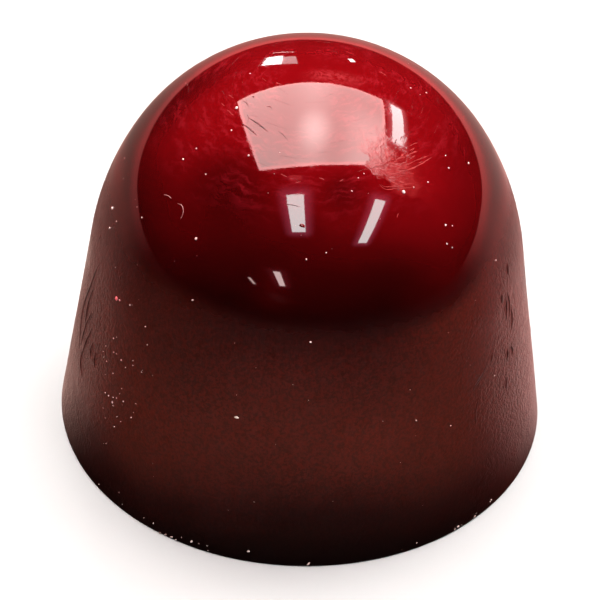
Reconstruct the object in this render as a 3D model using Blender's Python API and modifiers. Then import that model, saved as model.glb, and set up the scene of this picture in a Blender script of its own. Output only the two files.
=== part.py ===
"""Chocolate praline, moulded in one piece: a tall dome on a wall that flares to a flat base.

Run it with: blender --background --python part.py
Units are metres and +Z is up. The origin is the centre of the flat base, and the praline is round about Z.

The outline has four parts, each tangent to the next: the crown is part of a sphere, the shoulder is a
wider arc, the wall is straight and leans in so that the praline leaves its mould, and the edge is a
small round at the foot of the wall.
"""

import math

import bpy

BASE_RADIUS = 0.0145  # where the wall would meet the base, if the edge were sharp
WALL_DRAFT = math.radians(9.3)  # lean of the wall from upright
SHOULDER_RADIUS = 0.0167
SHOULDER_TOP = math.radians(30.0)  # rise of the surface's normal where the shoulder meets the crown
CROWN_RADIUS = 0.0121
EDGE_RADIUS = 0.0001

CROWN_STEPS = 20
SHOULDER_STEPS = 8
EDGE_STEPS = 3
TURN_STEPS = 72
MERGE_DISTANCE = 0.00001

COLLECTION_NAME = "chocolate_praline"
SHELL_COLOUR = (0.24, 0.006, 0.009, 1.0)  # deep red cocoa butter
SHELL_ROUGHNESS = 0.12


def clear_scene():
    for old in list(bpy.data.objects):
        bpy.data.objects.remove(old)


def arc(centre, radius, start, end, steps):
    """Points in the (radius, height) plane, from the angle start to the angle end, both included."""
    angles = [start + (end - start) * i / steps for i in range(steps + 1)]
    return [(centre[0] + radius * math.cos(a), centre[1] + radius * math.sin(a)) for a in angles]


def praline_outline():
    """The outer side of the praline from the top of the crown to the centre of the base."""
    bulge = SHOULDER_RADIUS - CROWN_RADIUS
    shoulder_foot_radius = SHOULDER_RADIUS * math.cos(WALL_DRAFT) - bulge * math.cos(SHOULDER_TOP)
    shoulder_foot_height = (BASE_RADIUS - shoulder_foot_radius) / math.tan(WALL_DRAFT)
    shoulder_centre = (
        -bulge * math.cos(SHOULDER_TOP),
        shoulder_foot_height - SHOULDER_RADIUS * math.sin(WALL_DRAFT),
    )
    crown_centre = (0.0, shoulder_centre[1] + bulge * math.sin(SHOULDER_TOP))
    edge_setback = EDGE_RADIUS * (1 + math.sin(WALL_DRAFT)) / math.cos(WALL_DRAFT)
    edge_centre = (BASE_RADIUS - edge_setback, EDGE_RADIUS)

    crown = arc(crown_centre, CROWN_RADIUS, math.pi / 2, SHOULDER_TOP, CROWN_STEPS)
    shoulder = arc(shoulder_centre, SHOULDER_RADIUS, SHOULDER_TOP, WALL_DRAFT, SHOULDER_STEPS)
    edge = arc(edge_centre, EDGE_RADIUS, WALL_DRAFT, -math.pi / 2, EDGE_STEPS)
    return crown + shoulder[1:] + edge + [(0.0, 0.0)]


def turned_solid(name, outline):
    """A solid of revolution about Z, from an outline that runs down its outer side."""
    mesh = bpy.data.meshes.new(name)
    points = [(radius, 0.0, height) for radius, height in outline]
    mesh.from_pydata(points, [(i, i + 1) for i in range(len(points) - 1)], [])
    solid = bpy.data.objects.new(name, mesh)
    screw = solid.modifiers.new("turn", "SCREW")
    screw.axis = "Z"
    screw.angle = math.tau
    screw.steps = TURN_STEPS
    screw.render_steps = TURN_STEPS
    screw.use_merge_vertices = True
    screw.merge_threshold = MERGE_DISTANCE
    screw.use_smooth_shade = True
    return solid


def shell_material():
    """Red cocoa butter that took the mould's polish."""
    material = bpy.data.materials.new("red_cocoa_butter")
    material.use_nodes = True
    shader = material.node_tree.nodes["Principled BSDF"]
    shader.inputs["Base Color"].default_value = SHELL_COLOUR
    shader.inputs["Roughness"].default_value = SHELL_ROUGHNESS
    shader.inputs["Metallic"].default_value = 0.0
    return material


def main():
    clear_scene()
    collection = bpy.data.collections.new(COLLECTION_NAME)
    bpy.context.scene.collection.children.link(collection)
    praline = turned_solid("praline", praline_outline())
    praline.data.materials.append(shell_material())
    collection.objects.link(praline)


main()
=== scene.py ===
"""A moulded chocolate praline: dark chocolate under a coat of red cocoa butter, polished where it lay
against the bottom of its mould and satin where the wall was drawn out of it.

Metres, +Z up, origin at the centre of the flat base. The front is -Y, and an azimuth is turned from
there towards +X.
"""

import math
import random

import bmesh
import bpy
from mathutils import Matrix, Vector, noise


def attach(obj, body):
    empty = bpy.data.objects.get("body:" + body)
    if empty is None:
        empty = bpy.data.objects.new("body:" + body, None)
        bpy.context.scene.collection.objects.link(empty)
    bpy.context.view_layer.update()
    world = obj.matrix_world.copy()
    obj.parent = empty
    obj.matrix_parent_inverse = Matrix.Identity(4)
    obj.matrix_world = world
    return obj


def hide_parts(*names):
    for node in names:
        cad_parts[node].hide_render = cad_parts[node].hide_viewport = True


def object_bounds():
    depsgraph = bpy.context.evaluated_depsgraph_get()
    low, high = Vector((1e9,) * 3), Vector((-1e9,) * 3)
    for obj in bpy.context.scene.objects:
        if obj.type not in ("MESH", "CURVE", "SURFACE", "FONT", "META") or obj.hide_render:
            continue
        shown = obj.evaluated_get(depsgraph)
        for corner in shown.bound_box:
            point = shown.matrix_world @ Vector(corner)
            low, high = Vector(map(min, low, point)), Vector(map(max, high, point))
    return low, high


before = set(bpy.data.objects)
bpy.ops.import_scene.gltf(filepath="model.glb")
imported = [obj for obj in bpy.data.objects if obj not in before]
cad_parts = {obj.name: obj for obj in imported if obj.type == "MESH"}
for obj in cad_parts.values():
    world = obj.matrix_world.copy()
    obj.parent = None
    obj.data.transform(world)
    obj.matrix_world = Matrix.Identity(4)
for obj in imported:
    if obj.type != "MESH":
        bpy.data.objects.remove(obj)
cad_low, cad_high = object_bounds()

# ---------------------------------------------------------------------------------------------------
# Shell. Dark chocolate cast in a round mould that was first sprayed with red cocoa butter. The crown
# is part of a sphere, the shoulder a wider arc, and the wall leans in so that the piece leaves its
# mould. The crown shrank away cleanly and shines; the wall dragged a little and is satin.

MM = 0.001
base_radius = 14.5 * MM
wall_draft = math.radians(9.3)
shoulder_radius = 16.7 * MM
shoulder_top = math.radians(30.0)
crown_radius = 12.1 * MM
edge_radius = 0.1 * MM
height = cad_high.z
foot_swell = 0.12 * MM
foot_swell_azimuth = math.radians(-38)
foot_swell_height = 1.6 * MM
wall_wave = 0.035 * MM
rim_width = 1.3 * MM
seam_width = 0.25 * MM
seam_depth = 0.12 * MM

CROWN_RINGS = 84
SHOULDER_RINGS = 36
WALL_RINGS = 80
EDGE_RINGS = 6
BASE_RINGS = 12
TURNS = 400


def arc(centre, radius, start, end, steps):
    """Points in the (radius, height) plane, from the angle start to the angle end, both included."""
    angles = [start + (end - start) * i / steps for i in range(steps + 1)]
    return [(centre[0] + radius * math.cos(a), centre[1] + radius * math.sin(a)) for a in angles]


def straight(start, end, steps):
    """Points between two ends, neither of them included."""
    return [tuple(a + (b - a) * i / steps for a, b in zip(start, end)) for i in range(1, steps)]


def shell_outline():
    """Crown, shoulder, wall and foot edge, then the underside: rim, seam groove and poured base."""
    bulge = shoulder_radius - crown_radius
    foot_radius = shoulder_radius * math.cos(wall_draft) - bulge * math.cos(shoulder_top)
    foot_height = (base_radius - foot_radius) / math.tan(wall_draft)
    shoulder_centre = (-bulge * math.cos(shoulder_top), foot_height - shoulder_radius * math.sin(wall_draft))
    crown_centre = (0.0, shoulder_centre[1] + bulge * math.sin(shoulder_top))
    setback = edge_radius * (1 + math.sin(wall_draft)) / math.cos(wall_draft)
    edge_centre = (base_radius - setback, edge_radius)
    crown = arc(crown_centre, crown_radius, math.pi / 2, shoulder_top, CROWN_RINGS)
    shoulder = arc(shoulder_centre, shoulder_radius, shoulder_top, wall_draft, SHOULDER_RINGS)
    edge = arc(edge_centre, edge_radius, wall_draft, -math.pi / 2, EDGE_RINGS)
    seam = base_radius - rim_width
    groove = [(seam, 0.0), (seam - seam_width / 2, seam_depth), (seam - seam_width, 0.0)]
    outside = crown + shoulder[1:] + straight(shoulder[-1], edge[0], WALL_RINGS) + edge
    return outside + groove + straight(groove[-1], (0.0, 0.0), BASE_RINGS)


def unevenness(point):
    """How far the cast wall stands out from the true outline. The crown, next to the mould, is true."""
    azimuth = math.atan2(point.x, -point.y)
    drop = 1 - point.z / height
    around = Vector((2.2 * math.sin(azimuth), 2.2 * math.cos(azimuth), 160 * point.z))
    wave = wall_wave * noise.noise(around) * min(1.0, max(0.0, 2.2 * drop - 0.7))
    turn = (azimuth - foot_swell_azimuth) / math.radians(40)
    swell = foot_swell * math.exp(-turn * turn - (point.z / foot_swell_height) ** 2)
    return wave + swell


outline = shell_outline()


def on_shell(azimuth, level):
    """The place on the shell at an azimuth in degrees and a height in mm, and the way out of it there."""
    z = min(level * MM, height)
    lower = next(i for i, (_, ring_level) in enumerate(outline) if i and ring_level <= z)
    (inner, above), (outer, below) = outline[lower - 1], outline[lower]
    share = (above - z) / max(above - below, 1e-9)
    turn = math.radians(azimuth)
    outward = Vector((math.sin(turn), -math.cos(turn), 0.0))
    place = outward * (inner + (outer - inner) * share) + Vector((0.0, 0.0, z))
    out = (outward * (above - below) + Vector((0.0, 0.0, outer - inner))).normalized()
    return place + outward * unevenness(place), out


def turned_mesh(name, outline, turns):
    """A closed mesh from an outline that starts on the axis: quads round Z, a fan at the top and base."""
    rings = outline[1:]
    points = [(0.0, 0.0, outline[0][1])]
    for radius, level in rings:
        for i in range(turns):
            a = math.tau * i / turns
            points.append((radius * math.cos(a), radius * math.sin(a), level))
    faces = [(0, 1 + i, 1 + (i + 1) % turns) for i in range(turns)]
    for ring in range(len(rings) - 1):
        first = 1 + ring * turns
        for i in range(turns):
            j = (i + 1) % turns
            faces.append((first + i, first + turns + i, first + turns + j, first + j))
    last = 1 + (len(rings) - 1) * turns
    points.append((0.0, 0.0, 0.0))
    faces += [(last + (i + 1) % turns, last + i, len(points) - 1) for i in range(turns)]
    mesh = bpy.data.meshes.new(name)
    mesh.from_pydata(points, [], faces)
    mesh.shade_smooth()
    return mesh


def feed(tree, socket, source):
    """Link a socket to another node's output, or set it to a plain value."""
    if isinstance(source, bpy.types.NodeSocket):
        tree.links.new(source, socket)
    else:
        socket.default_value = source


def add(tree, kind, inputs=(), **settings):
    """A new node, with its settings and what feeds its inputs, by name or by number."""
    item = tree.nodes.new("ShaderNode" + kind)
    for name, value in settings.items():
        setattr(item, name, value)
    for name, source in dict(inputs).items():
        feed(tree, item.inputs[name], source)
    return item


def reckon(tree, operation, *terms):
    """One step of arithmetic."""
    return add(tree, "Math", enumerate(terms), operation=operation).outputs[0]


def vector(tree, operation, *terms):
    """One step of arithmetic on vectors."""
    return add(tree, "VectorMath", enumerate(terms), operation=operation).outputs[0]


def flat_distance(tree, x, y):
    """How far a place is from the middle, level with it."""
    return vector(tree, "LENGTH", add(tree, "CombineXYZ", {0: x, 1: y}).outputs[0]).node.outputs[1]


def step(tree, value, start, end, low=0.0, high=1.0):
    """A smooth step: low where value is start, high where it is end."""
    limits = {"Value": value, "From Min": start, "From Max": end, "To Min": low, "To Max": high}
    return add(tree, "MapRange", limits, interpolation_type="SMOOTHSTEP").outputs[0]


def patches(tree, place, scale, detail=2.0, roughness=0.5):
    """Soft uneven patches about 1/scale across, from 0 to 1."""
    shape = {"Vector": place, "Scale": scale, "Detail": detail, "Roughness": roughness}
    return add(tree, "TexNoise", shape).outputs[0]


def grey(tree, value):
    """A colour with the same value in red, green and blue."""
    return add(tree, "CombineColor", {0: value, 1: value, 2: value}).outputs[0]


def paint(tree, factor, under, over, blend_type="MIX"):
    """One colour laid over another."""
    item = add(tree, "Mix", {0: factor}, data_type="RGBA", blend_type=blend_type)
    feed(tree, item.inputs[6], under)
    feed(tree, item.inputs[7], over)
    return item.outputs[2]


def shades(tree, value, stops):
    """A colour that changes with value. Each stop is a value and its colour."""
    first, last = stops[0][0], stops[-1][0]
    share = reckon(tree, "DIVIDE", reckon(tree, "SUBTRACT", value, first), last - first)
    item = add(tree, "ValToRGB", {0: share})
    item.color_ramp.interpolation = "CARDINAL"
    elements = item.color_ramp.elements
    while len(elements) < len(stops):
        elements.new(0.5)
    for element, (stop, colour) in zip(elements, stops):
        element.position = (stop - first) / (last - first)
        element.color = (*colour, 1.0)
    return item.outputs[0]


def plain_material(name):
    """A material, its nodes and its shader."""
    material = bpy.data.materials.new(name)
    material.use_nodes = True
    return material, material.node_tree, material.node_tree.nodes["Principled BSDF"]


def millimetres(tree):
    """The place on the object in mm: the vector, and its x, y and z."""
    place = vector(tree, "SCALE", add(tree, "TexCoord").outputs["Object"])
    place.node.inputs["Scale"].default_value = 1 / MM
    return place, *add(tree, "SeparateXYZ", {0: place}).outputs


def near(tree, place, azimuth, level, reach):
    """1 at one place on the shell, down to 0 at reach mm from it."""
    middle = on_shell(azimuth, level)[0] / MM
    gap = vector(tree, "DISTANCE", place, middle).node.outputs[1]
    return step(tree, gap, reach, 0.0)


def cocoa_butter():
    """Red cocoa butter over dark chocolate. Lengths are in mm."""
    material, tree, shader = plain_material("red_cocoa_butter")
    place, x, y, z = millimetres(tree)

    # The spray was aimed at the bottom of the mould, and reached further down on two sides.
    radius = flat_distance(tree, x, y)
    around = vector(tree, "NORMALIZE", add(tree, "CombineXYZ", {0: x, 1: y}).outputs[0])
    cloud = reckon(tree, "SUBTRACT", patches(tree, place, 0.3, 3.0), 0.5)
    depth = reckon(tree, "ADD", z, reckon(tree, "MULTIPLY", cloud, 1.2))
    for azimuth, narrow, extra, crown_extra in ((-68, 8.0, 0.9, 0.9), (48, 4.0, 2.9, 1.0)):
        towards = (math.sin(math.radians(azimuth)), -math.cos(math.radians(azimuth)), 0.0)
        facing = vector(tree, "DOT_PRODUCT", around, towards).node.outputs[1]
        lobe = reckon(tree, "POWER", reckon(tree, "MAXIMUM", facing, 0.0), narrow)
        extra = step(tree, z, 18.0, 21.5, extra, crown_extra)
        depth = reckon(tree, "MULTIPLY_ADD", lobe, extra, depth)
    for azimuth, level, reach, extra in (
        (-42, 17.2, 5.0, 1.1), (-34, 21.0, 3.8, -1.6), (14, 21.3, 2.0, -1.8), (18, 17.0, 4.0, -1.1),
        (30, 17.0, 3.5, -0.9), (-92, 21.3, 3.5, -1.6), (-100, 22.6, 3.0, -1.6), (-9, 17.0, 1.8, 1.4),
    ):
        depth = reckon(tree, "MULTIPLY_ADD", near(tree, place, azimuth, level, reach), extra, depth)
    red = shades(tree, depth, (
        (15.5, (0.009, 0.0002, 0.0002)),
        (17.0, (0.015, 0.0002, 0.0003)),
        (19.0, (0.034, 0.0003, 0.0006)),
        (20.5, (0.064, 0.0005, 0.0011)),
        (22.0, (0.110, 0.0008, 0.0019)),
        (23.5, (0.127, 0.0010, 0.0022)),
        (27.0, (0.139, 0.0011, 0.0026)),
    ))
    # The wall is painted darker towards the foot, most of all at the front: painted shade of the praline's
    # own shadow on the board. The front is painted darker than the sides: painted shade where less light
    # reaches it.
    low = z
    for azimuth, level, reach, extra in (
        (-42, 3.5, 8.0, 2.0), (38, 3.5, 7.0, 1.2), (46, 15.5, 6.0, -2.6), (-38, 15.8, 5.5, -1.1),
    ):
        low = reckon(tree, "MULTIPLY_ADD", near(tree, place, azimuth, level, reach), extra, low)
    front_wall = shades(tree, low, (
        (0.0, (0.003, 0.0003, 0.0001)),
        (2.0, (0.010, 0.0007, 0.0002)),
        (4.0, (0.024, 0.0018, 0.0006)),
        (6.5, (0.063, 0.0062, 0.0016)),
        (10.0, (0.073, 0.0068, 0.0018)),
        (13.0, (0.053, 0.0038, 0.0010)),
        (15.5, (0.013, 0.0002, 0.0001)),
    ))
    side_wall = shades(tree, z, (
        (0.0, (0.030, 0.0032, 0.0022)),
        (3.5, (0.073, 0.0095, 0.0065)),
        (6.5, (0.096, 0.0125, 0.0085)),
        (12.0, (0.100, 0.0105, 0.0075)),
        (15.5, (0.078, 0.0040, 0.0030)),
        (18.5, (0.120, 0.0016, 0.0024)),
    ))
    facing = vector(tree, "DOT_PRODUCT", around, (-0.07, -1.0, 0.0)).node.outputs[1]
    flank = step(tree, facing, 0.82, 0.2)
    # The wall is painted lighter on the right than on the left: painted light from the lamps at the back
    # right.
    painted_right_light = step(tree, x, -12.0, 12.0, 0.87, 1.08)
    side_wall = paint(tree, 1.0, side_wall, grey(tree, painted_right_light), "MULTIPLY")
    wall = paint(tree, flank, front_wall, side_wall)
    wall_top = reckon(tree, "MULTIPLY_ADD", flank, -2.0, reckon(tree, "MULTIPLY_ADD", lobe, 1.2, z))
    colour = paint(tree, step(tree, wall_top, 16.4, 15.0), red, wall)

    # The colour is made lighter or darker in patches as painted light and shade: lighter near the foot,
    # darker at the back and in places on the wall.
    painted_light_patches = 1.0
    for azimuth, level, reach, extra in (
        (-33, 12.5, 6.0, -0.24), (60, 8.5, 6.5, -0.20), (18, 12.5, 4.5, -0.15), (18, 7.5, 3.5, 0.16),
        (-62, 4.2, 4.5, 0.26), (-16, 3.2, 3.5, 0.45), (60, 1.2, 3.0, 0.30), (180, 22.0, 7.0, -0.22),
        (75, 15.0, 4.0, -0.38), (-75, 16.5, 3.0, -0.30), (180, 8.0, 14.0, -0.15),
    ):
        painted_light_patches = reckon(tree, "MULTIPLY_ADD", near(tree, place, azimuth, level, reach), extra, painted_light_patches)
    colour = paint(tree, 1.0, colour, grey(tree, painted_light_patches), "MULTIPLY")
    rise = reckon(tree, "ADD", z, reckon(tree, "MULTIPLY", cloud, 1.2))
    rise = reckon(tree, "ADD", rise, step(tree, flank, 1.0, 0.0, 0.0, 0.8))
    satin = step(tree, rise, 17.3, 15.3)

    # Fine grain of the sprayed coat.
    grain = patches(tree, place, 5.5, 3.0, 0.7)
    grain_tint = paint(tree, step(tree, grain, 0.38, 0.62), (0.68, 0.90, 0.84, 1.0), (1.32, 1.10, 1.16, 1.0))
    colour = paint(tree, satin, colour, paint(tree, 1.0, colour, grain_tint, "MULTIPLY"))

    # Swirls left by polishing the mould: long thin scuffs round the crown, wandering across each other.
    wander = reckon(tree, "MULTIPLY", patches(tree, place, 1.1, 3.0, 0.6), 0.9)
    ring = reckon(tree, "MULTIPLY", reckon(tree, "ADD", radius, wander), 4.5)
    round_place = vector(tree, "ADD", vector(tree, "MULTIPLY", around, (5.0, 5.0, 0.0)),
                         add(tree, "CombineXYZ", {2: ring}).outputs[0])
    scuff = patches(tree, round_place, 1.0, 4.0, 0.65)
    where = step(tree, patches(tree, place, 0.5, 2.0), 0.38, 0.62)
    for azimuth, level, reach in ((-58, 22.4, 4.5), (-6, 21.6, 3.4)):
        where = reckon(tree, "MAXIMUM", where, near(tree, place, azimuth, level, reach))
    scuffed = reckon(tree, "MULTIPLY", where, step(tree, z, 19.0, 22.5))
    scuff_mask = reckon(tree, "MULTIPLY", step(tree, scuff, 0.44, 0.68), scuffed)
    # The scuffs are painted a lighter red, partly the scuffed butter and partly a painted sheen of the light
    # they scatter.
    colour = paint(tree, reckon(tree, "MULTIPLY", scuff_mask, 0.6), colour, (0.22, 0.008, 0.014, 1.0))

    # A fan of brush marks to the right of the front, hazy where its hairs lie close together. Its lighter red
    # is partly thin butter and partly a painted sheen of the light the strokes scatter.
    shaky = add(tree, "TexNoise", {"Vector": place, "Scale": 1.1, "Detail": 2.0}).outputs["Color"]
    shaky = vector(tree, "MULTIPLY", vector(tree, "SUBTRACT", shaky, (0.5, 0.5, 0.5)), (1.6, 1.6, 0.0))
    flat_place = vector(tree, "ADD", add(tree, "CombineXYZ", {0: x, 1: y}).outputs[0], shaky)
    away = vector(tree, "SUBTRACT", flat_place, (3.3, -6.3, 0.0))
    reach = vector(tree, "LENGTH", away).node.outputs[1]
    bent = add(tree, "VectorRotate", {"Vector": away, "Angle": reckon(tree, "MULTIPLY", reach, -0.05)},
               rotation_type="Z_AXIS").outputs[0]
    heading = vector(tree, "NORMALIZE", bent)
    fan_place = vector(tree, "ADD", vector(tree, "MULTIPLY", heading, (9.0, 9.0, 0.0)),
                       add(tree, "CombineXYZ", {2: reckon(tree, "MULTIPLY", reach, 0.35)}).outputs[0])
    bristle = patches(tree, fan_place, 1.0, 4.0, 0.7)
    fan = 0.0
    for turn, narrow, length in ((88, 0.80, 3.2), (54, 0.85, 2.2), (20, 0.80, 4.8)):
        towards = (math.cos(math.radians(turn)), math.sin(math.radians(turn)), 0.0)
        inside = vector(tree, "DOT_PRODUCT", heading, towards).node.outputs[1]
        part = reckon(tree, "MULTIPLY", step(tree, inside, narrow, 0.97), step(tree, reach, length, 1.2))
        fan = reckon(tree, "MAXIMUM", part, fan)
    fan_mask = reckon(tree, "MULTIPLY", step(tree, bristle, 0.38, 0.66), fan)
    fan_cover = reckon(tree, "MULTIPLY_ADD", fan_mask, 0.35, reckon(tree, "MULTIPLY", fan, 0.35))
    fan_core = reckon(tree, "MULTIPLY", fan, step(tree, reach, 4.2, 0.8))
    fan_red_and_sheen = paint(tree, fan_core, (0.23, 0.003, 0.006, 1.0), (0.29, 0.028, 0.030, 1.0))
    colour = paint(tree, fan_cover, colour, fan_red_and_sheen)

    # A hazy rub on the very top.
    rub = vector(tree, "MULTIPLY", vector(tree, "SUBTRACT", place, (1.1, -0.6, 0.0)), (0.6, 1.6, 0.0))
    rub_mask = step(tree, vector(tree, "LENGTH", rub).node.outputs[1], 1.3, 0.1)
    rub_mask = reckon(tree, "MULTIPLY", rub_mask, step(tree, scuff, 0.3, 0.7))
    rub_mask = reckon(tree, "MULTIPLY", rub_mask, step(tree, z, 18.0, 20.0))
    colour = paint(tree, reckon(tree, "MULTIPLY", rub_mask, 0.6), colour, (0.30, 0.030, 0.036, 1.0))

    # The underside was poured and scraped flat: bare dark chocolate, combed one way by the scraper.
    under = reckon(tree, "MULTIPLY", step(tree, radius, 14.45, 14.35), step(tree, z, 0.20, 0.14))
    combed = patches(tree, vector(tree, "MULTIPLY", place, (0.25, 4.0, 1.0)), 1.0, 4.0, 0.7)
    poured = paint(tree, step(tree, combed, 0.3, 0.7), (0.020, 0.006, 0.004, 1.0), (0.048, 0.017, 0.010, 1.0))
    colour = paint(tree, under, colour, poured)
    feed(tree, shader.inputs["Base Color"], colour)

    # Polished crown, satin wall.
    mottle = step(tree, patches(tree, place, 1.3, 3.0), 0.3, 0.7, -0.03, 0.03)
    matt = reckon(tree, "ADD", 0.32, mottle)
    gloss = add(tree, "Mix", {0: satin}, data_type="FLOAT")
    gloss.inputs[2].default_value = 0.03
    feed(tree, gloss.inputs[3], matt)
    rough = reckon(tree, "MULTIPLY_ADD", scuff_mask, 0.02, gloss.outputs[0])
    rough = reckon(tree, "MULTIPLY_ADD", fan_core, 0.13, rough)
    rough = reckon(tree, "MULTIPLY_ADD", fan_mask, 0.06, rough)
    feed(tree, shader.inputs["Roughness"], rough)

    # The wall dragged against the mould as it came out: upright scores and small pits, mostly on the sides.
    upright = vector(tree, "ADD", vector(tree, "MULTIPLY", around, (34.0, 34.0, 0.0)),
                     add(tree, "CombineXYZ", {2: reckon(tree, "MULTIPLY", z, 0.7)}).outputs[0])
    scores = step(tree, patches(tree, upright, 1.0, 3.0, 0.6), 0.35, 0.75)
    worn = step(tree, patches(tree, place, 0.35, 2.0), 0.36, 0.76, 0.04, 0.55)
    for azimuth, level, reach in ((70, 7.0, 7.0), (-71, 9.0, 6.0)):
        worn = reckon(tree, "MAXIMUM", worn, near(tree, place, azimuth, level, reach))
    worn = reckon(tree, "MULTIPLY", worn, reckon(tree, "MULTIPLY", flank, step(tree, z, 16.0, 12.0)))
    pits = patches(tree, place, 3.0, 4.0, 0.75)
    crease = reckon(tree, "ABSOLUTE", reckon(tree, "SUBTRACT", patches(tree, place, 1.7, 3.0, 0.6), 0.5))
    crease = step(tree, crease, 0.0, 0.10)
    dragged = reckon(tree, "MULTIPLY", reckon(tree, "MULTIPLY", scores, worn), 0.010)
    pitted = reckon(tree, "MULTIPLY", pits, reckon(tree, "MULTIPLY_ADD", worn, 0.075, 0.015))
    creased = reckon(tree, "MULTIPLY", crease, reckon(tree, "MULTIPLY", worn, 0.095))
    relief = reckon(tree, "ADD", reckon(tree, "ADD", dragged, pitted), creased)
    relief = reckon(tree, "MULTIPLY_ADD", grain, 0.007, relief)
    relief = reckon(tree, "MULTIPLY", relief, satin)
    relief = reckon(tree, "MULTIPLY", relief, reckon(tree, "SUBTRACT", 1.0, under))
    relief = reckon(tree, "MULTIPLY_ADD", reckon(tree, "MULTIPLY", combed, under), 0.05, relief)
    relief = reckon(tree, "MULTIPLY_ADD", scuff_mask, 0.0004, relief)
    relief = reckon(tree, "MULTIPLY_ADD", fan_mask, 0.0045, relief)
    bump = add(tree, "Bump", {"Height": relief, "Distance": MM, "Strength": 1.0})
    feed(tree, shader.inputs["Normal"], bump.outputs[0])
    return material


shell_mesh = turned_mesh("shell", outline, TURNS)
for corner in shell_mesh.vertices:
    outward = Vector((corner.co.x, corner.co.y, 0.0)).normalized()
    if corner.co.z > 0:
        corner.co += outward * unevenness(corner.co)
shell = bpy.data.objects.new("shell", shell_mesh)
bpy.context.scene.collection.objects.link(shell)
shell.data.materials.append(cocoa_butter())
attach(shell, "root")
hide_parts("praline")

# ---------------------------------------------------------------------------------------------------
# Brush marks. Thicker strokes of the same cocoa butter, left where a brush or a cloth turned in the
# bottom of the mould. They stand a hundredth of a millimetre proud and are a lighter, hazier red.


def strand(mesh_data, path, width, thickness, sunk=0.0, sides=8):
    """Adds one oval strand, pointed at both ends, along a path of places and ways out of the shell."""
    points, faces = mesh_data
    first = len(points)
    for i, (place, out) in enumerate(path):
        ahead = path[min(i + 1, len(path) - 1)][0] - path[max(i - 1, 0)][0]
        across = ahead.cross(out).normalized()
        taper = max(math.sin(math.pi * (i + 0.15) / (len(path) - 0.7)), 0.0) ** 0.6
        for j in range(sides):
            turn = math.tau * j / sides
            offset = across * (math.cos(turn) * width / 2) + out * (math.sin(turn) * thickness / 2)
            points.append(place + offset * taper - out * sunk * thickness / 2)
    for i in range(len(path) - 1):
        for j in range(sides):
            k = (j + 1) % sides
            low, high = first + i * sides, first + (i + 1) * sides
            faces.append((low + j, high + j, high + k, low + k))
    faces.append(tuple(range(first, first + sides)))
    faces.append(tuple(reversed(range(first + (len(path) - 1) * sides, first + len(path) * sides))))


def route(guides, steps=12, waver=0.0, chance=None):
    """A smooth path on the shell through guide points, each an azimuth in degrees and a height in mm."""
    stops = [Vector(guide) for guide in guides]
    stops = [2 * stops[0] - stops[1], *stops, 2 * stops[-1] - stops[-2]]
    path = []
    drift = 0.0
    for before, start, end, after in zip(stops, stops[1:], stops[2:], stops[3:]):
        leaving = (end - before) / 2
        arriving = (after - start) / 2
        for i in range(steps):
            t = i / steps
            bend = 3 * (end - start) - 2 * leaving - arriving
            twist = 2 * (start - end) + leaving + arriving
            azimuth, level = start + leaving * t + bend * t * t + twist * t ** 3
            drift += chance.uniform(-waver, waver) if chance else 0.0
            path.append(on_shell(azimuth, level + drift))
    path.append(on_shell(*stops[-2]))
    return path


def bowed(start, end, bow):
    """Three guide points: two ends, and a middle moved sideways by a height in mm."""
    return start, ((start[0] + end[0]) / 2, (start[1] + end[1]) / 2 + bow), end


def finish_mesh(name, mesh_data, material, smooth=True):
    """One object from gathered points and faces, riding on the praline."""
    mesh = bpy.data.meshes.new(name)
    mesh.from_pydata(*[mesh_data[0], [], mesh_data[1]])
    mesh.validate()
    if smooth:
        mesh.shade_smooth()
    piece = bpy.data.objects.new(name, mesh)
    bpy.context.scene.collection.objects.link(piece)
    piece.data.materials.append(material)
    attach(piece, "root")
    return piece


# Guide points of each stroke, azimuth in degrees and height in mm.
brush_guides = (
    ((31, 21.60), (38, 21.54), (48, 21.50), (56, 21.38), (65, 21.15)),
    ((31, 21.50), (39, 21.42), (48, 21.32), (57, 21.26), (63, 21.12)),
    ((33, 21.55), (38, 21.40), (44, 21.30)),
    ((45, 21.75), (50, 21.72), (57, 21.62)),
    ((51, 21.95), (55, 21.92), (60, 21.84)),
    ((40, 21.80), (44, 21.80), (48, 21.76)),
    ((43, 22.15), (43, 21.95), (41, 21.75)),
    ((40, 22.40), (38, 22.05), (36, 21.75)),
    ((28, 21.50), (29, 21.25), (31, 21.02), (36, 20.90), (42, 20.74), (50, 20.46)),
    ((37, 21.14), (39, 21.05), (41, 20.94)),
    ((34, 21.35), (35, 21.15), (38, 20.98)),
)
chance = random.Random(11)
brush_data = ([], [])
for guides in brush_guides:
    for copy in range(2):
        shift = Vector((chance.uniform(-1.0, 1.0), chance.gauss(0, 0.05))) if copy else Vector((0, 0))
        path = route([Vector(guide) + shift for guide in guides], 14, 0.006, chance)
        first = int(chance.uniform(0.0, 0.5) * len(path)) if copy else 0
        last = int(chance.uniform(0.6, 1.0) * len(path)) if copy else len(path)
        strand(brush_data, path[first:last], chance.uniform(0.05, 0.09) * MM, 0.04 * MM, sunk=0.70, sides=12)
for _ in range(34):
    azimuth = chance.uniform(33, 50)
    level = chance.uniform(21.0, 22.0)
    slope = chance.gauss(-0.06, 0.03) + 0.2 * (level - 21.5)
    path = route(((azimuth, level), (azimuth + chance.uniform(2, 7), level + slope)), 14, 0.004, chance)
    strand(brush_data, path, chance.uniform(0.03, 0.06) * MM, 0.03 * MM, sunk=0.70, sides=12)
for _ in range(14):
    azimuth = chance.uniform(34, 43)
    level = chance.uniform(21.9, 22.4)
    path = route(((azimuth, level), (azimuth - 1.5, level - chance.uniform(0.15, 0.35))), 14, 0.004, chance)
    strand(brush_data, path, chance.uniform(0.03, 0.05) * MM, 0.03 * MM, sunk=0.70, sides=12)
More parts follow.
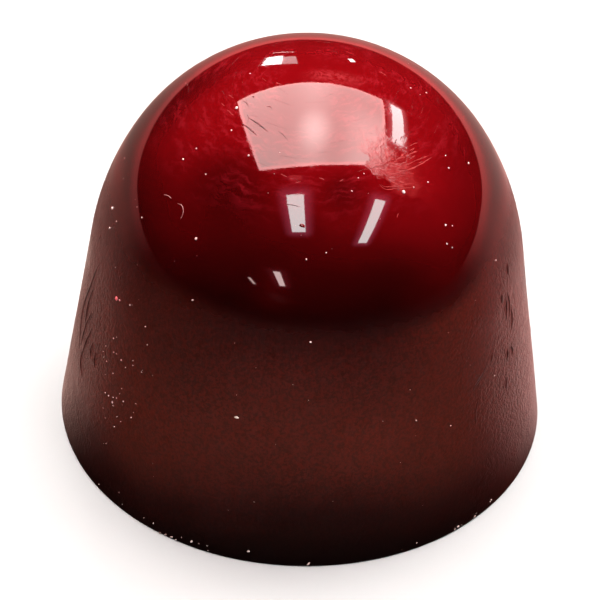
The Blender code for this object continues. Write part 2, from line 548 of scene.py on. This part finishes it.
swirl_guides = (
    ((-64, 22.70), (-52, 22.70)),
    ((-76, 22.90), (-65, 23.00)),
    ((-71, 22.70), (-64, 22.72)),
    ((-82, 23.60), (-67, 23.62)),
    ((-65, 23.70), (-50, 23.75)),
    ((-14, 21.75), (-9, 21.62)),
    ((-7, 21.50), (-3, 21.60)),
    ((3, 21.75), (7, 21.62)),
    ((12, 21.55), (15, 21.62)),
    ((97, 23.20), (106, 23.45)),
    ((31, 19.80), (33, 20.05)),
)
for start, end in swirl_guides:
    path = route(bowed(start, end, chance.uniform(-0.03, 0.03)), 15, 0.006, chance)
    strand(brush_data, path, chance.uniform(0.05, 0.10) * MM, 0.03 * MM, sunk=0.75, sides=12)


def uneven_finish_group():
    """A node group: two colours in soft patches, and a fine grain in the roughness and the height."""
    group = bpy.data.node_groups.new("uneven_finish", "ShaderNodeTree")
    for way, name, kind in (
        ("INPUT", "Place", "Vector"),
        ("INPUT", "Patch Scale", "Float"),
        ("INPUT", "Grain Scale", "Float"),
        ("INPUT", "Dark Colour", "Color"),
        ("INPUT", "Light Colour", "Color"),
        ("INPUT", "Low Roughness", "Float"),
        ("INPUT", "High Roughness", "Float"),
        ("OUTPUT", "Colour", "Color"),
        ("OUTPUT", "Roughness", "Float"),
        ("OUTPUT", "Height", "Float"),
    ):
        group.interface.new_socket(name=name, in_out=way, socket_type="NodeSocket" + kind)
    given = group.nodes.new("NodeGroupInput").outputs
    patch = step(group, patches(group, given["Place"], given["Patch Scale"], 3.0), 0.35, 0.65)
    grain = patches(group, given["Place"], given["Grain Scale"])
    result = group.nodes.new("NodeGroupOutput").inputs
    feed(group, result["Colour"], paint(group, patch, given["Dark Colour"], given["Light Colour"]))
    low, high = given["Low Roughness"], given["High Roughness"]
    feed(group, result["Roughness"], step(group, grain, 0.3, 0.7, low, high))
    feed(group, result["Height"], grain)
    return group


uneven_finish = uneven_finish_group()


def small_piece_material(name, scales, dark, light, roughness, relief):
    """The uneven finish with its own values: patch and grain scales per mm, and the relief in mm."""
    material, tree, shader = plain_material(name)
    finish = add(tree, "Group", node_tree=uneven_finish)
    values = {
        "Place": millimetres(tree)[0], "Patch Scale": scales[0], "Grain Scale": scales[1],
        "Dark Colour": (*dark, 1.0), "Light Colour": (*light, 1.0),
        "Low Roughness": roughness[0], "High Roughness": roughness[1],
    }
    for socket, value in values.items():
        feed(tree, finish.inputs[socket], value)
    bump = add(tree, "Bump", {"Height": finish.outputs["Height"], "Distance": relief * MM})
    feed(tree, shader.inputs["Base Color"], finish.outputs["Colour"])
    feed(tree, shader.inputs["Roughness"], finish.outputs["Roughness"])
    feed(tree, shader.inputs["Normal"], bump.outputs[0])
    return material


# Drawn thin by the brush, the butter is lighter than the coat, uneven along each stroke, and less glossy. Its
# lighter red is partly a painted sheen of the light the strokes scatter.
brushed_butter = small_piece_material(
    "brushed_cocoa_butter", (2.5, 6.0), (0.18, 0.004, 0.006), (0.30, 0.024, 0.024), (0.50, 0.62), 0.002)
brushed_butter.node_tree.nodes["Principled BSDF"].inputs["Specular IOR Level"].default_value = 0.25
brush_marks = finish_mesh("brush_marks", brush_data, brushed_butter)

# ---------------------------------------------------------------------------------------------------
# Polish scratches. Fine ridges cast from scratches in the mould. They show dark on the bright
# reflection of the lamp, because their sides reflect the dark room.

scratch_guides = (
    ((-46, 22.70), (-32, 22.60), 0.07),
    ((-45, 22.90), (-27, 22.80), 0.07),
    ((-61, 23.10), (-52, 23.10), 0.03),
    ((-41, 23.30), (-35, 23.30), 0.025),
    ((-59, 23.28), (-57, 23.30), 0.05),
    ((-22, 22.90), (-13, 22.70), 0.018),
    ((-48, 22.95), (-43, 22.80), 0.025),
    ((-9, 20.72), (-3, 20.68), 0.04),
    ((50, 22.22), (54, 22.26), 0.03),
    ((46, 22.20), (49, 22.30), 0.05),
    ((-3, 19.98), (-1, 19.92), 0.16),
)
scratch_data = ([], [])
for start, end, width in scratch_guides:
    path = route(bowed(start, end, chance.uniform(0.02, 0.05)), 15, 0.003, chance)
    strand(scratch_data, path, 1.2 * width * MM, 0.05 * MM)
for _ in range(70):
    azimuth = chance.uniform(-180, 180)
    level = chance.uniform(21.6, 23.7)
    length = chance.uniform(4, 14) * (2 if level > 23 else 1)
    path = route(bowed((azimuth, level), (azimuth + length, level + chance.gauss(0, 0.05)), 0.01), 5)
    strand(scratch_data, path, chance.uniform(0.008, 0.018) * MM, 0.006 * MM)

scratched_butter = small_piece_material(
    "scratched_cocoa_butter", (3.0, 6.0), (0.06, 0.001, 0.002), (0.14, 0.002, 0.004), (0.08, 0.20), 0.0005)
polish_scratches = finish_mesh("polish_scratches", scratch_data, scratched_butter)

# ---------------------------------------------------------------------------------------------------
# Drag marks. Curved scores and ridges of chocolate on both sides of the wall, where the piece
# rubbed against the mould or a tray.

# Guide points of each score, and its width in mm.
drag_guides = (
    (((-68, 13.6), (-71, 12.6), (-74, 10.8), (-77, 9.0), (-77, 7.8), (-75, 6.6), (-73, 5.1)), 0.24),
    (((-70, 11.8), (-73, 9.9), (-73, 8.8), (-73, 8.0)), 0.22),
    (((-69, 9.9), (-70, 9.3), (-72, 8.2), (-73, 7.0), (-73, 6.2)), 0.20),
    (((-67, 9.2), (-68, 8.5), (-70, 7.4), (-71, 6.4), (-70, 5.8)), 0.20),
    (((-65, 8.4), (-66, 7.6), (-65, 6.8)), 0.18),
    (((-63, 8.1), (-63, 7.4), (-62, 6.8)), 0.14),
    (((-72, 6.6), (-71, 5.6), (-68, 5.0)), 0.14),
    (((65, 12.8), (65, 12.0), (64, 11.0)), 0.16),
    (((66, 13.1), (67, 12.0), (66, 11.0)), 0.18),
    (((68, 11.8), (68, 10.8), (67, 9.8)), 0.12),
    (((56, 10.4), (52, 9.5), (49, 9.1), (46, 8.7)), 0.18),
    (((50, 8.3), (48, 7.2), (48, 6.2)), 0.16),
    (((70, 14.4), (69, 14.0), (69, 13.6)), 0.50),
    (((64, 13.2), (63, 13.0), (63, 12.6)), 0.40),
    (((64, 9.4), (64, 9.0), (63, 8.5)), 0.30),
    (((63, 7.6), (62, 7.2), (62, 6.8)), 0.40),
    (((66, 9.2), (67, 8.8), (66, 8.3)), 0.26),
    (((57, 10.2), (56, 9.9), (56, 9.6)), 0.30),
)
drag_data = ([], [])
for guides, width in drag_guides:
    path = route(guides, 12, 0.015, chance)
    strand(drag_data, path, width * MM, 0.15 * MM, sunk=0.45)
for _ in range(60):
    azimuth = chance.choice((-1, 1)) * chance.uniform(58, 180)
    level = chance.uniform(3.0, 15.0)
    path = route(((azimuth, level), (azimuth + chance.gauss(0, 1), level - chance.uniform(0.2, 1.4))), 8)
    strand(drag_data, path, chance.uniform(0.10, 0.24) * MM, 0.06 * MM, sunk=0.6)

dragged_chocolate = small_piece_material(
    "dragged_chocolate", (2.0, 8.0), (0.030, 0.003, 0.002), (0.08, 0.012, 0.009), (0.30, 0.42), 0.003)
drag_marks = finish_mesh("drag_marks", drag_data, dragged_chocolate)

# ---------------------------------------------------------------------------------------------------
# Specks. Tiny beads of pale cocoa butter and sugar that stick to the coat, most of them a tenth of a
# millimetre across.

# Azimuth in degrees, height and width in mm.
speck_places = (
    (37.5, 20.7, 0.20), (42.5, 20.7, 0.10), (49.5, 20.6, 0.10), (62.5, 20.5, 0.11), (65.5, 20.9, 0.08),
    (73.5, 19.9, 0.12), (48, 18.7, 0.12), (50.5, 18.5, 0.08), (24, 21.7, 0.07), (21, 21.6, 0.08),
    (17, 21.2, 0.08), (96.5, 22.2, 0.10), (94, 22.7, 0.08), (-58, 22.9, 0.17), (-47.5, 22.4, 0.10),
    (-30.5, 22.0, 0.12), (-55.5, 21.3, 0.08), (-57, 20.7, 0.10), (-43.5, 20.8, 0.07), (-90.5, 23.4, 0.08),
    (-58, 17.5, 0.10), (-35.5, 18.3, 0.17), (-31, 15.4, 0.09), (0, 18.6, 0.08), (6, 18.9, 0.08),
    (2, 14.5, 0.10), (-44, 12.5, 0.08), (-42.5, 11.5, 0.07), (-55.5, 10.1, 0.09), (-54.5, 9.3, 0.08),
    (-51, 9.3, 0.10), (-53.5, 8.0, 0.07), (-55.5, 6.3, 0.08), (-52, 6.2, 0.11), (-48, 6.9, 0.08),
    (-44.5, 6.3, 0.08), (-50, 4.8, 0.07), (46, 17.9, 0.08), (47.5, 17.6, 0.07), (63.5, 15.3, 0.09),
    (29.5, 8.7, 0.09), (39.5, 7.4, 0.10), (56.5, 8.6, 0.08), (28, 10.8, 0.06), (-51, 13.0, 0.09),
    (-74, 16.1, 0.16), (-70.5, 15.3, 0.12), (-68.5, 16.0, 0.08),
)
speck_data = ([], [])


def bead(mesh_data, place, out, width, squash=0.7, stretch=1.0, chance=chance):
    """Adds one small uneven lump, sunk a little into the surface."""
    points, faces = mesh_data
    first = len(points)
    ball = bmesh.new()
    bmesh.ops.create_icosphere(ball, subdivisions=2, radius=width / 2)
    seed = Vector([chance.uniform(0, 50) for _ in range(3)])
    spin = Matrix.Rotation(chance.uniform(0, math.tau), 3, out)
    turn = out.to_track_quat("Z", "Y").to_matrix()
    for corner in ball.verts:
        rough = 1 + 0.35 * noise.noise(corner.co / width * 2 + seed)
        shaped = Vector((corner.co.x * stretch, corner.co.y, corner.co.z * squash)) * rough
        points.append(place + out * width * squash * 0.25 + spin @ (turn @ shaped))
    faces += [tuple(first + corner.index for corner in face.verts) for face in ball.faces]
    ball.free()


for azimuth, level, width in speck_places:
    bead(speck_data, *on_shell(azimuth, level), 0.85 * width * MM, stretch=chance.uniform(1.0, 1.4))
for _ in range(26):
    azimuth = chance.gauss(-51, 5)
    bead(speck_data, *on_shell(azimuth, max(1.0, chance.gauss(8.0, 2.6))), chance.uniform(0.03, 0.07) * MM)
for _ in range(110):
    azimuth = chance.uniform(-180, 180)
    level = 24 * chance.random() ** 0.8
    if 1 < level < 22.5:
        bead(speck_data, *on_shell(azimuth, level), chance.uniform(0.02, 0.04) * MM)

pale_speck = small_piece_material(
    "pale_speck", (0.9, 20.0), (0.72, 0.42, 0.40), (0.86, 0.74, 0.70), (0.35, 0.60), 0.004)
specks = finish_mesh("specks", speck_data, pale_speck)

# ---------------------------------------------------------------------------------------------------
# Red flakes. Two chips of the sprayed coat, knocked off and stuck to the left of the wall, pinkish
# where they are bruised.
flake_data = ([], [])
bead(flake_data, *on_shell(-57, 12.6), 0.20 * MM, 0.6, 1.2)
bead(flake_data, *on_shell(-55.5, 12.7), 0.09 * MM, 0.6, 1.3)

red_flake = small_piece_material(
    "red_flake", (5.0, 20.0), (0.75, 0.10, 0.12), (0.95, 0.62, 0.62), (0.30, 0.50), 0.002)
red_flakes = finish_mesh("red_flakes", flake_data, red_flake)

# ---------------------------------------------------------------------------------------------------
# Lint. Two short pale fibres lie on the left of the crown, one straight and one hooked.

lint_data = ([], [])
for guides, width in (
    (((-54.5, 19.1), (-52.5, 19.2), (-50.5, 19.2)), 0.032),
    (((-47.5, 19.2), (-45.5, 19.25), (-44, 19.1), (-43.5, 18.9), (-43.5, 18.7)), 0.036),
):
    path = [(place + out * 0.02 * MM, out) for place, out in route(guides, 6)]
    strand(lint_data, path, width * MM, width * MM)

# Cotton, dyed pink by the coat under it.
pale_lint = small_piece_material(
    "pale_lint", (4.0, 20.0), (0.36, 0.10, 0.10), (0.62, 0.34, 0.32), (0.50, 0.80), 0.001)
lint = finish_mesh("lint", lint_data, pale_lint)

# ---------------------------------------------------------------------------------------------------
# Crumbs. Scraps of white sugar and chocolate along the foot of the wall, where it was scraped flat.

crumb_data = ([], [])
for azimuth, level, width, stretch in (
    (-31.5, 0.10, 0.08, 2.4), (-30.0, 0.16, 0.10, 2.0), (-28.5, 0.18, 0.09, 2.6), (-27.3, 0.13, 0.08, 1.4),
    (-23.4, 0.42, 0.12, 1.5), (-19.3, 0.18, 0.05, 1.2), (-10.0, 0.74, 0.13, 1.3), (3.6, 0.22, 0.12, 2.4),
    (39.6, 0.18, 0.10, 1.4), (40.6, 0.24, 0.12, 1.6), (46.0, 0.20, 0.12, 1.6), (52.0, 0.45, 0.10, 1.2),
    (-15.2, 9.34, 0.13, 2.0),
):
    bead(crumb_data, *on_shell(azimuth, level), width * MM, 0.55, stretch)
for _ in range(26):
    azimuth = chance.uniform(-180, 180)
    bead(crumb_data, *on_shell(azimuth, chance.uniform(0.1, 0.5)), chance.uniform(0.03, 0.07) * MM, 0.6, 1.5)

pale_crumb = small_piece_material(
    "pale_crumb", (1.6, 20.0), (0.30, 0.18, 0.15), (0.80, 0.72, 0.66), (0.40, 0.70), 0.006)
foot_crumbs = finish_mesh("foot_crumbs", crumb_data, pale_crumb)

# ---------------------------------------------------------------------------------------------------
# Table. A plain pale board, wide enough to fill the view. To the gloss it is not lit but glows: a painted
# reflection, dimmer and warmer than the board itself, with painted light in bands at the sides and back and a
# painted shadow darkest close to the praline.

TABLE_SIDE = 0.68
bpy.ops.mesh.primitive_plane_add(size=TABLE_SIDE, location=(0, 0, 0))
table = bpy.context.object
table.name = "table"
table_paint, tree, table_shader = plain_material("table_paint")
table_shader.inputs["Base Color"].default_value = (0.415, 0.5, 0.505, 1.0)
table_shader.inputs["Roughness"].default_value = 0.9
place, x, y, z = millimetres(tree)
out = vector(tree, "LENGTH", place).node.outputs[1]
heading = vector(tree, "NORMALIZE", place)
across, along, _ = add(tree, "SeparateXYZ", {0: heading}).outputs
side = step(tree, across, -0.7, 0.8, 0.60, 1.10)
foot = step(tree, across, -0.7, 0.8, step(tree, along, -0.35, 0.0, 0.62, 0.84), 0.74)
side = step(tree, out, 18.0, 15.0, side, foot)
rim = reckon(tree, "MULTIPLY", step(tree, along, 0.44, 0.68), step(tree, out, 25.0, 20.0))
rim_gain = step(tree, across, -0.5, 0.5, 4.2, 0.7)
side = reckon(tree, "MULTIPLY", side, reckon(tree, "MULTIPLY_ADD", rim, rim_gain, 1.0))
start = step(tree, out, 15.0, 38.0, -0.55, -0.15)
end = step(tree, out, 15.0, 21.0, 0.10, 0.42)
side = reckon(tree, "MULTIPLY", side, step(tree, along, start, end))
reach = reckon(tree, "MAXIMUM", reckon(tree, "DIVIDE", 15.0, out), 0.32)
level = reckon(tree, "MULTIPLY_ADD", side, reach, 0.03)
shadow = step(tree, along, -0.6, -0.1, 0.2, 0.9)
level = reckon(tree, "MULTIPLY", level, step(tree, out, 20.0, 14.5, 1.0, shadow))
warmth = step(tree, across, -0.5, 1.0)
cast = paint(tree, warmth, (1.55, 0.92, 0.78, 1.0), (1.75, 0.96, 0.88, 1.0))
rim_cast = paint(tree, warmth, (1.20, 1.00, 0.86, 1.0), (1.12, 1.30, 1.20, 1.0))
cast = paint(tree, rim, cast, rim_cast)
cast = paint(tree, step(tree, out, 80.0, 220.0), cast, (5.0, 1.15, 1.08, 1.0))
# The painted reflection: a glow that only glossy rays see, carrying the painted shadow and the painted bright
# bands.
painted_reflection = add(tree, "Emission", {"Color": cast, "Strength": level})
from_gloss = add(tree, "LightPath").outputs["Is Glossy Ray"]
glint = add(tree, "MixShader", {0: from_gloss, 1: table_shader.outputs[0], 2: painted_reflection.outputs[0]})
feed(tree, tree.nodes["Material Output"].inputs["Surface"], glint.outputs[0])
table.data.materials.append(table_paint)

# ---------------------------------------------------------------------------------------------------
# Light. A dark room with one large soft panel over the praline, slim strips round it, and windows far
# off at the back and front. All of them lie in one level, a metre up.

LAMP_HEIGHT = 1.0
SOFT_EDGE = 0.006


def lamp(name, x, y, width, depth, radiance, turn=0.0, slant=0.0, haze=0.0, tint=(1.0, 1.0, 1.0, 1.0),
         haze_tint=(0.15, 0.022, 0.042, 1.0)):
    """A level rectangle of light. Slant shears it, in metres of depth per metre of width."""
    margin = haze + SOFT_EDGE
    light = bpy.data.lights.new(name, "AREA")
    light.shape = "RECTANGLE"
    light.size = width + 2 * margin
    light.size_y = depth + abs(slant) * width + 2 * margin
    light.energy = radiance * math.pi * light.size * light.size_y
    light.use_nodes = True
    tree = light.node_tree
    from_middle = vector(tree, "SUBTRACT", add(tree, "NewGeometry").outputs["Position"], (x, y, LAMP_HEIGHT))
    turned = {"Vector": from_middle, "Angle": -math.radians(turn)}
    square_on = add(tree, "VectorRotate", turned, rotation_type="Z_AXIS").outputs[0]
    right, back, _ = add(tree, "SeparateXYZ", {0: square_on}).outputs
    back = reckon(tree, "MULTIPLY_ADD", right, -slant, back)
    past_side = reckon(tree, "SUBTRACT", reckon(tree, "ABSOLUTE", right), width / 2)
    past_end = reckon(tree, "SUBTRACT", reckon(tree, "ABSOLUTE", back), depth / 2)
    past_side = reckon(tree, "MAXIMUM", past_side, 0.0)
    past = flat_distance(tree, past_side, reckon(tree, "MAXIMUM", past_end, 0.0))
    lit = step(tree, past, SOFT_EDGE, 0.0)
    glow = tree.nodes["Emission"]
    if haze:
        fall = reckon(tree, "POWER", reckon(tree, "MAXIMUM", step(tree, past, haze, 0.0), 0.0), 1.5)
        skirt = paint(tree, fall, (0.0, 0.0, 0.0, 1.0), haze_tint)
        feed(tree, glow.inputs["Color"], paint(tree, lit, skirt, tint))
    else:
        glow.inputs["Color"].default_value = tint
        feed(tree, glow.inputs["Strength"], lit)
    holder = bpy.data.objects.new(name, light)
    holder.location = (x, y, LAMP_HEIGHT)
    holder.rotation_euler = (0.0, 0.0, math.radians(turn))
    holder.visible_camera = False
    bpy.context.scene.collection.objects.link(holder)
    return holder


def panel():
    """The big soft panel: wider at the back, its near edge bowed, brightest in the middle."""
    holder = lamp("panel", -0.04, 0.37, 1.42, 1.30, 6.2)
    tree = holder.data.node_tree
    glow = tree.nodes["Emission"]
    x, y, _ = add(tree, "SeparateXYZ", {0: add(tree, "NewGeometry").outputs["Position"]}).outputs
    bowed = reckon(tree, "MULTIPLY_ADD", reckon(tree, "MULTIPLY", x, x), -0.21, y)
    front = reckon(tree, "MULTIPLY_ADD", x, -0.12, reckon(tree, "ADD", bowed, 0.192))
    back = reckon(tree, "MULTIPLY_ADD", x, 0.08, reckon(tree, "SUBTRACT", 0.945, y))
    left = reckon(tree, "MULTIPLY_ADD", y, 0.235, reckon(tree, "ADD", x, 0.527))
    right = reckon(tree, "SUBTRACT", 0.66, x)
    corner = reckon(tree, "MULTIPLY_ADD", y, 0.9, reckon(tree, "SUBTRACT", 0.60, x))
    inside = front
    for edge in (back, left, right, corner):
        inside = reckon(tree, "MINIMUM", inside, edge)
    band = step(tree, reckon(tree, "ABSOLUTE", x), 0.27, 0.0, 0.0, 0.38)
    spot_x = reckon(tree, "MULTIPLY", reckon(tree, "SUBTRACT", x, 0.02), 1.7)
    from_spot = flat_distance(tree, spot_x, reckon(tree, "SUBTRACT", y, 0.19))
    spot = step(tree, from_spot, 0.32, 0.0, 0.0, 0.85)
    low_right = reckon(tree, "MULTIPLY", step(tree, x, 0.12, 0.45, 0.0, 0.55), step(tree, y, 0.75, 0.25))
    left_side = step(tree, x, -0.05, -0.30, 0.0, 0.16)
    level = reckon(tree, "ADD", reckon(tree, "ADD", band, spot), reckon(tree, "ADD", low_right, 1.0))
    level = reckon(tree, "ADD", level, left_side)
    feed(tree, glow.inputs["Strength"], reckon(tree, "MULTIPLY", level, step(tree, inside, 0.0, SOFT_EDGE)))
    rim = step(tree, inside, 0.045, 0.020)
    feed(tree, glow.inputs["Color"], paint(tree, rim, (1.22, 1.0, 0.96, 1.0), (2.1, 1.1, 1.08, 1.0)))


SIDE_HAZE = (0.24, 0.085, 0.095, 1.0)
FRONT_HAZE = (0.20, 0.034, 0.062, 1.0)
ROOM_HAZE = (0.05, 0.008, 0.010, 1.0)
FLOOR_GLOW = (0.50, 0.18, 0.18, 1.0)
panel()
lamp("right_strip", 0.838, 0.70, 0.165, 0.68, 15.0, slant=0.25, haze=0.13, haze_tint=SIDE_HAZE)
lamp("front_left_strip", -0.13, -0.77, 0.172, 0.54, 13.5, 3, haze=0.16, haze_tint=FRONT_HAZE)
lamp("front_right_strip", 0.837, -0.81, 0.155, 0.78, 13.5, 4.4, haze=0.16, haze_tint=FRONT_HAZE)
lamp("front_left_glow", -0.13, -0.36, 0.11, 0.24, 3.0, 3, haze=0.10, tint=(1.0, 0.12, 0.14, 1.0))
lamp("far_left_window", -0.553, 2.55, 0.25, 1.03, 17, 4.5, -1.16)
lamp("far_left_shade", -0.315, 2.26, 0.17, 0.85, 3, 5, -0.8)
lamp("far_line", -0.57, 3.98, 0.43, 0.12, 6, 0, -1.7)
lamp("far_right_window", 0.495, 2.82, 0.08, 0.40, 17, 0, 2.0)
lamp("near_window", -0.73, -2.95, 0.18, 0.95, 13, haze=0.35, haze_tint=ROOM_HAZE, tint=(1.0, 0.74, 0.72, 1.0))
lamp("near_floor", -1.25, -5.2, 0.10, 1.0, 0.3, haze=0.7, haze_tint=FLOOR_GLOW, tint=FLOOR_GLOW)
lamp("near_gap", -1.83, -3.35, 0.11, 0.50, 10, haze=0.15, haze_tint=ROOM_HAZE, tint=(1.0, 0.72, 0.68, 1.0))

world = bpy.data.worlds.new("room")
world.use_nodes = True
tree = world.node_tree
seen = add(tree, "LightPath").outputs["Is Camera Ray"]
walls = paint(tree, seen, (0.01, 0.01, 0.01, 1.0), (0.9, 0.9, 0.9, 1.0))
feed(tree, tree.nodes["Background"].inputs["Color"], walls)
bpy.context.scene.world = world

# ---------------------------------------------------------------------------------------------------
# Camera.

CAMERA_DISTANCE = 0.145
CAMERA_RISE = math.radians(41.84)
AIM = Vector((-0.00027, 0, 0.0075))
ROLL = math.radians(2.54)
camera_data = bpy.data.cameras.new("camera")
camera_data.lens = 142.19
camera_data.sensor_width = 36
camera_data.clip_start = 0.01
camera = bpy.data.objects.new("camera", camera_data)
camera.location = (0, -CAMERA_DISTANCE * math.cos(CAMERA_RISE), CAMERA_DISTANCE * math.sin(CAMERA_RISE))
look = (AIM - camera.location).to_track_quat("-Z", "Y").to_matrix().to_4x4()
camera.rotation_euler = (look @ Matrix.Rotation(ROLL, 4, "Z")).to_euler()
bpy.context.scene.collection.objects.link(camera)
bpy.context.scene.camera = camera
bpy.context.scene.view_settings.view_transform = "Standard"
